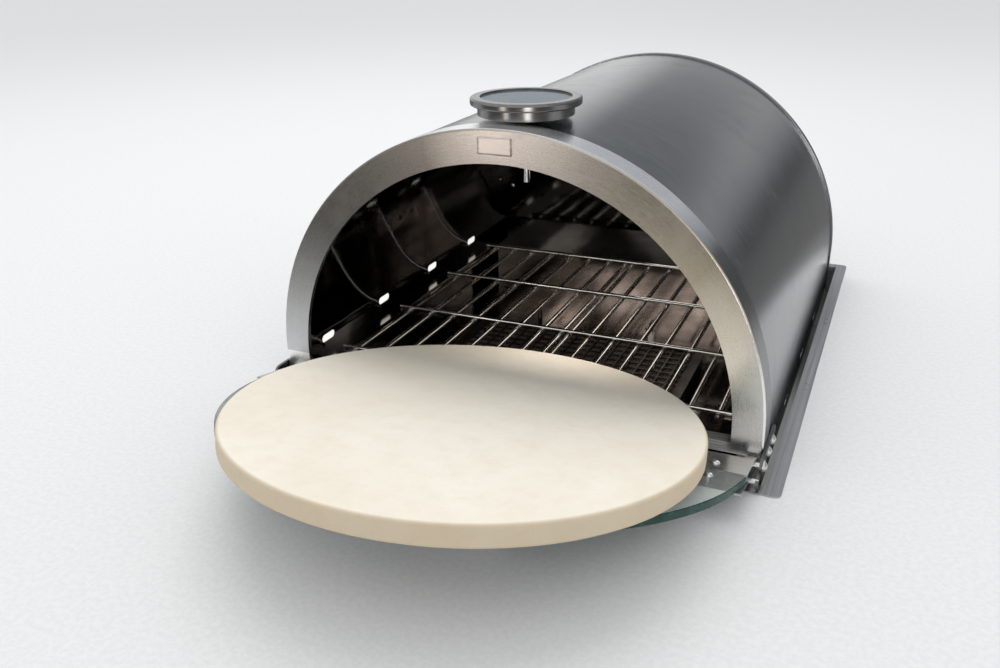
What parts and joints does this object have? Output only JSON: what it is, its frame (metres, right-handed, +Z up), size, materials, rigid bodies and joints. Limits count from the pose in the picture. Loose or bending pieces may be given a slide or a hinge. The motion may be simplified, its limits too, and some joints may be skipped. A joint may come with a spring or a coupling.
{
  "type": "countertop pizza oven",
  "caption": "Arched stainless drop-in gas pizza oven with a flanged counter tray, wire rack, burner, fold-down glass door, dial thermometer and round baking stone.",
  "frame": {"origin": "centre of the tray's flange screw pattern, on the counter surface that the flange rests on", "axes": "+Z up, +X to the oven's right seen from the door, +Y from the door towards the rear panel"},
  "size_m": [0.447, 0.7474, 0.348],
  "materials": {
    "tray_steel": "satin folded stainless",
    "rail_steel": "dark powder coat",
    "fastener_steel": "bright stainless",
    "hood_steel": "stainless brushed along the hood",
    "ring_steel": "warm brushed stainless",
    "liner_steel": "dark polished stainless",
    "insulation": "ceramic fibre",
    "baffle_steel": "polished and heat tinted",
    "wire_steel": "bright drawn wire",
    "burner_steel": "heat darkened steel",
    "burner_tile": "porous fired ceramic",
    "brass": "machined",
    "white_ceramic": "glazed alumina",
    "gauge_chrome": "polished",
    "gauge_glass": "clear flat lens",
    "gauge_dial": "pale printed dial",
    "needle_paint": "enamel",
    "door_glass": "clear tempered glass with green edges",
    "clamp_steel": "satin stainless",
    "stone": "fine grained cordierite"
  },
  "bodies": {
    "oven": {"counter_tray": "tray_steel", "base_rail_left": "rail_steel", "base_rail_right": "rail_steel", "base_bolts": "fastener_steel", "hood_shell": "hood_steel", "front_ring": "ring_steel", "blank_badge": "ring_steel", "rear_panel": "hood_steel", "rear_rivets": "fastener_steel", "inner_liner": "liner_steel", "rear_liner": "liner_steel", "liner_screws": "fastener_steel", "insulation_blanket": "insulation", "rear_insulation": "insulation", "lower_front_panel": "liner_steel", "chamber_floor": "baffle_steel", "rear_shelf": "baffle_steel", "rack_support_left": "wire_steel", "rack_support_right": "wire_steel", "rack_cross_wires": "wire_steel", "rack_rods": "wire_steel", "burner_housing": "burner_steel", "burner_tiles": "burner_tile", "burner_mesh": "burner_steel", "burner_legs": "burner_steel", "venturi_tube": "burner_steel", "gas_orifice": "brass", "gas_pipe": "wire_steel", "inlet_elbow": "brass", "inlet_nipple": "brass", "inlet_locknut": "brass", "igniter_rod": "wire_steel", "igniter_insulator": "white_ceramic", "thermocouple": "wire_steel", "thermometer_case": "gauge_chrome", "thermometer_bezel": "gauge_chrome", "thermometer_lens": "gauge_glass", "thermometer_dial": "gauge_dial", "thermometer_stem": "wire_steel", "thermometer_nut": "fastener_steel", "hinge_bracket_left": "tray_steel", "hinge_bracket_right": "tray_steel", "hinge_pin_left": "fastener_steel", "hinge_pin_right": "fastener_steel", "hinge_bolts": "fastener_steel", "stop_pins": "fastener_steel"},
    "door": {"door_glass": "door_glass", "door_inner_clamp": "clamp_steel", "door_outer_clamp": "clamp_steel", "door_end_block_left": "clamp_steel", "door_end_block_right": "clamp_steel", "door_clamp_screws": "fastener_steel", "door_handle_bar": "wire_steel", "door_handle_posts": "wire_steel", "door_handle_screws": "fastener_steel"},
    "needle": {"thermometer_needle": "needle_paint"},
    "stone": {"pizza_stone": "stone"}
  },
  "joints": [
    {"name": "door_hinge", "type": "hinge", "parent": "oven", "child": "door", "pos_m": [0, -0.2385, 0.0112], "axis": [-1, 0, 0], "range_deg": [0, 77.8]},
    {"name": "gauge_needle", "type": "hinge", "parent": "oven", "child": "needle", "pos_m": [0, -0.1714, 0.2432], "axis": [0, 0, -1], "range_deg": [0, 270]},
    {"name": "stone_lift", "type": "slide", "parent": "oven", "child": "stone", "axis": [0, -0.7071, 0.7071], "range_m": [0, 0.68]}
  ],
  "couplings": [
    {"joint": "stone_lift", "follows": "door_hinge", "m_per_rad": 0.5}
  ]
}
